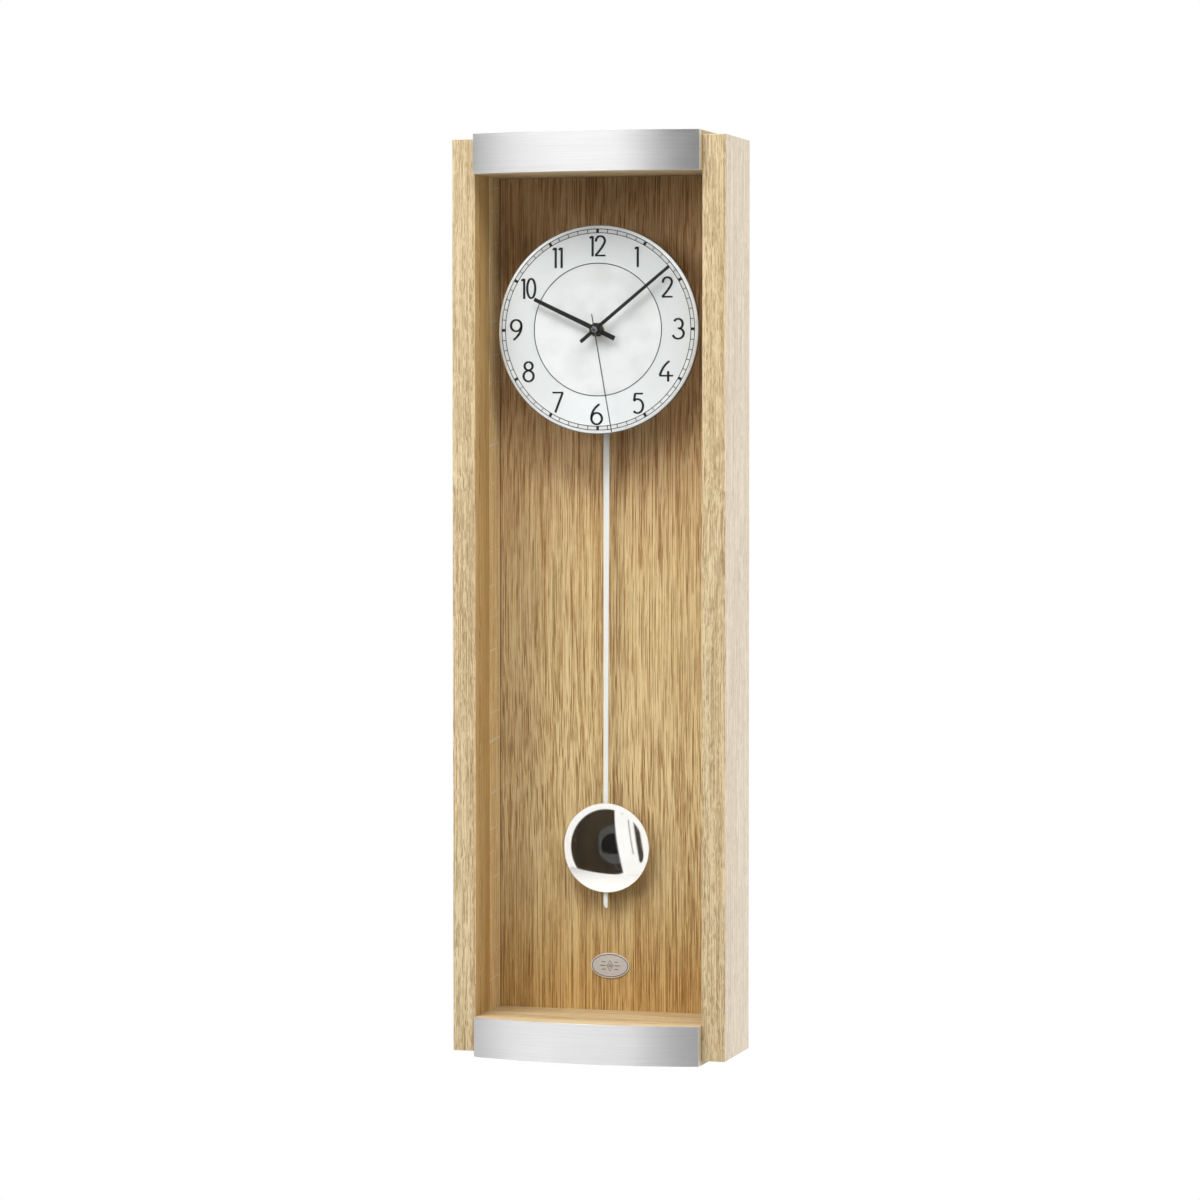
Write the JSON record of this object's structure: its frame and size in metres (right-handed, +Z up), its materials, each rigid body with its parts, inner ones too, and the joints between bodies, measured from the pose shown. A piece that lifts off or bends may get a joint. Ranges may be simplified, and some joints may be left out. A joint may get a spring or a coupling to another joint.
{
  "type": "pendulum wall clock",
  "caption": "Tall wooden wall clock with a glazed case, curved metal bands, a round dial with hour, minute and second hands, and a swinging pendulum with a domed bob.",
  "frame": {"origin": "where the shank of the wall screw bears in the top of the keyhole slot, on the plane of the wall", "axes": "+Z up, +Y into the wall, so the dial faces -Y, and +X to the right as seen from the front"},
  "size_m": [0.199, 0.084, 0.65],
  "materials": {
    "oak": "clear matt lacquer over open-grained oak",
    "pale_wood": "clear matt lacquer",
    "brushed_aluminium": "brushed along its length, satin",
    "clear_glass": "clear float glass, polished edges",
    "dial": "brushed chapter ring, matt white centre, printed black numerals",
    "hand_black": "matt black lacquer",
    "rod_metal": "fine brushed, satin",
    "bob_polished": "nickel-plated and polished",
    "zinc_steel": "zinc plated",
    "laminated_steel": "plain punched sheet",
    "turned_brass": "machined, bright",
    "contact_nickel": "nickel plated spring strip",
    "enamelled_copper": "enamelled winding wire",
    "black_plastic": "moulded, fine texture",
    "white_plastic": "moulded, satin",
    "circuit_board": "solder resist over glass-fibre board",
    "cell_sleeve": "shrink sleeve over a steel can",
    "buffer_rubber": "soft black rubber"
  },
  "bodies": {
    "case": {"left_pillar": "oak", "right_pillar": "oak", "left_lining_strip": "oak", "right_lining_strip": "oak", "back_panel": "oak", "top_board": "oak", "bottom_board": "oak", "hanging_rail": "oak", "top_front_block": "pale_wood", "bottom_front_block": "pale_wood", "top_aluminium_band": "brushed_aluminium", "bottom_aluminium_band": "brushed_aluminium", "oval_badge": "brushed_aluminium", "glass_pane": "clear_glass", "dial_disc": "dial", "hanger_plate": "zinc_steel", "hanger_screw_left": "zinc_steel", "hanger_screw_right": "zinc_steel", "back_panel_screw_1": "zinc_steel", "back_panel_screw_2": "zinc_steel", "back_panel_screw_3": "zinc_steel", "back_panel_screw_4": "zinc_steel", "bracket_screw_1": "zinc_steel", "bracket_screw_2": "zinc_steel", "bracket_screw_3": "zinc_steel", "pendulum_pivot_pin": "zinc_steel", "stator": "laminated_steel", "threaded_bush": "turned_brass", "bush_nut": "turned_brass", "battery_contact_top": "contact_nickel", "battery_contact_bottom": "contact_nickel", "quartz_crystal": "contact_nickel", "motor_coil": "enamelled_copper", "pendulum_drive_coil": "enamelled_copper", "movement_housing": "black_plastic", "movement_rear_cover": "black_plastic", "dial_bracket": "black_plastic", "pendulum_bracket": "white_plastic", "circuit_board": "circuit_board", "battery_cell": "cell_sleeve", "wall_buffer_left": "buffer_rubber", "wall_buffer_right": "buffer_rubber"},
    "seconds": {"second_hand": "hand_black", "second_wheel": "turned_brass"},
    "third": {"third_wheel": "turned_brass"},
    "centre": {"centre_wheel": "turned_brass"},
    "intermediate": {"intermediate_wheel": "white_plastic"},
    "motor_rotor": {"rotor": "laminated_steel"},
    "minutes": {"minute_hand": "hand_black", "cannon_pinion": "turned_brass"},
    "setting": {"motion_wheel": "white_plastic", "setting_knob": "white_plastic"},
    "hours": {"hour_hand": "hand_black", "hour_wheel": "white_plastic"},
    "pendulum": {"pendulum_hanger": "white_plastic", "pendulum_magnet": "laminated_steel", "pendulum_rod": "rod_metal", "bob_back_disc": "bob_polished", "bob_shell": "bob_polished", "bob_clip": "zinc_steel"}
  },
  "joints": [
    {"name": "second_hand_turn", "type": "hinge", "parent": "case", "child": "seconds", "pos_m": [0, -0.028, -0.0907], "axis": [0, 1, 0], "continuous": true},
    {"name": "third_wheel_turn", "type": "hinge", "parent": "case", "child": "third", "pos_m": [-0.00513, -0.028, -0.08181], "axis": [0, 1, 0], "continuous": true},
    {"name": "centre_wheel_turn", "type": "hinge", "parent": "case", "child": "centre", "pos_m": [0, -0.028, -0.0907], "axis": [0, 1, 0], "continuous": true},
    {"name": "intermediate_wheel_turn", "type": "hinge", "parent": "case", "child": "intermediate", "pos_m": [-0.00591, -0.028, -0.09914], "axis": [0, 1, 0], "continuous": true},
    {"name": "rotor_turn", "type": "hinge", "parent": "case", "child": "motor_rotor", "pos_m": [-0.01335, -0.028, -0.10045], "axis": [0, 1, 0], "continuous": true},
    {"name": "minute_hand_turn", "type": "hinge", "parent": "case", "child": "minutes", "pos_m": [0, -0.028, -0.0907], "axis": [0, 1, 0], "continuous": true},
    {"name": "setting_knob_turn", "type": "hinge", "parent": "case", "child": "setting", "pos_m": [0.00899, -0.028, -0.08508], "axis": [0, 1, 0], "continuous": true},
    {"name": "hour_hand_turn", "type": "hinge", "parent": "case", "child": "hours", "pos_m": [0, -0.028, -0.0907], "axis": [0, 1, 0], "continuous": true},
    {"name": "pendulum_swing", "type": "hinge", "parent": "case", "child": "pendulum", "pos_m": [0, -0.028, -0.1027], "axis": [0, 1, 0], "range_deg": [-7, 7]}
  ],
  "couplings": [
    {"joint": "third_wheel_turn", "follows": "second_hand_turn", "ratio": -0.125},
    {"joint": "centre_wheel_turn", "follows": "second_hand_turn", "ratio": 0.016667},
    {"joint": "intermediate_wheel_turn", "follows": "second_hand_turn", "ratio": -5},
    {"joint": "rotor_turn", "follows": "second_hand_turn", "ratio": 30},
    {"joint": "setting_knob_turn", "follows": "minute_hand_turn", "ratio": -0.33333},
    {"joint": "hour_hand_turn", "follows": "minute_hand_turn", "ratio": 0.083333}
  ]
}
